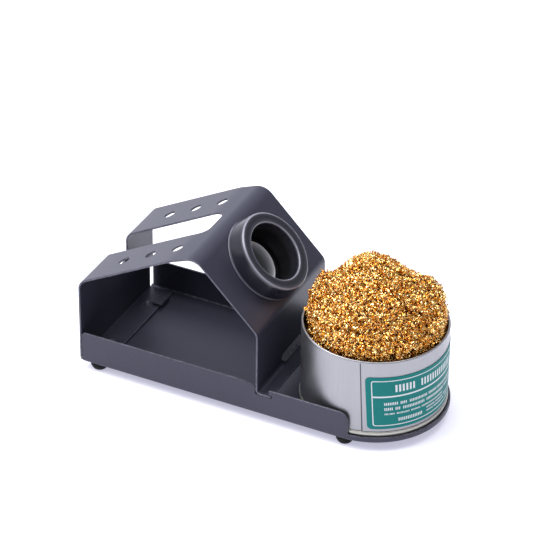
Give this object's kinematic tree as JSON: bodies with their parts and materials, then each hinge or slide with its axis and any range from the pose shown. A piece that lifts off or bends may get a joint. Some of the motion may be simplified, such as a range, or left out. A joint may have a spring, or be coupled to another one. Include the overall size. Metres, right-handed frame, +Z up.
{
  "type": "soldering iron stand",
  "caption": "Folded sheet-metal stand that holds a soldering iron in a slanted collar, with a lift-out round tin of brass wool for wiping the tip.",
  "frame": {"origin": "centre of the overall footprint, at the level of the surface that the feet stand on", "axes": "+X along the tray towards the tin, +Y towards the back flange, +Z up"},
  "size_m": [0.1926, 0.0804, 0.0937],
  "materials": {
    "powder_coated_steel": "satin",
    "collar_enamel": "satin",
    "tinplate": "satin",
    "seam_lacquer": "satin",
    "label_print": "satin",
    "brass_wool": "satin",
    "rubber": "matte"
  },
  "bodies": {
    "stand": {"base_tray": "powder_coated_steel", "holder_bracket": "powder_coated_steel", "iron_collar": "collar_enamel", "collar_retaining_ring": "collar_enamel", "foot_front_left": "rubber", "foot_back_left": "rubber", "foot_front_right": "rubber", "foot_back_right": "rubber"},
    "tin": {"tin_body": "tinplate", "tin_bottom": "seam_lacquer", "tin_label": "label_print"},
    "wool": {"brass_wool": "brass_wool"}
  },
  "joints": [
    {"name": "tin_lift", "type": "slide", "parent": "stand", "child": "tin", "axis": [0, 0, 1], "range_m": [0, 0.06]},
    {"name": "wool_lift", "type": "slide", "parent": "tin", "child": "wool", "axis": [0, 0, 1], "range_m": [0, 0.07]}
  ]
}
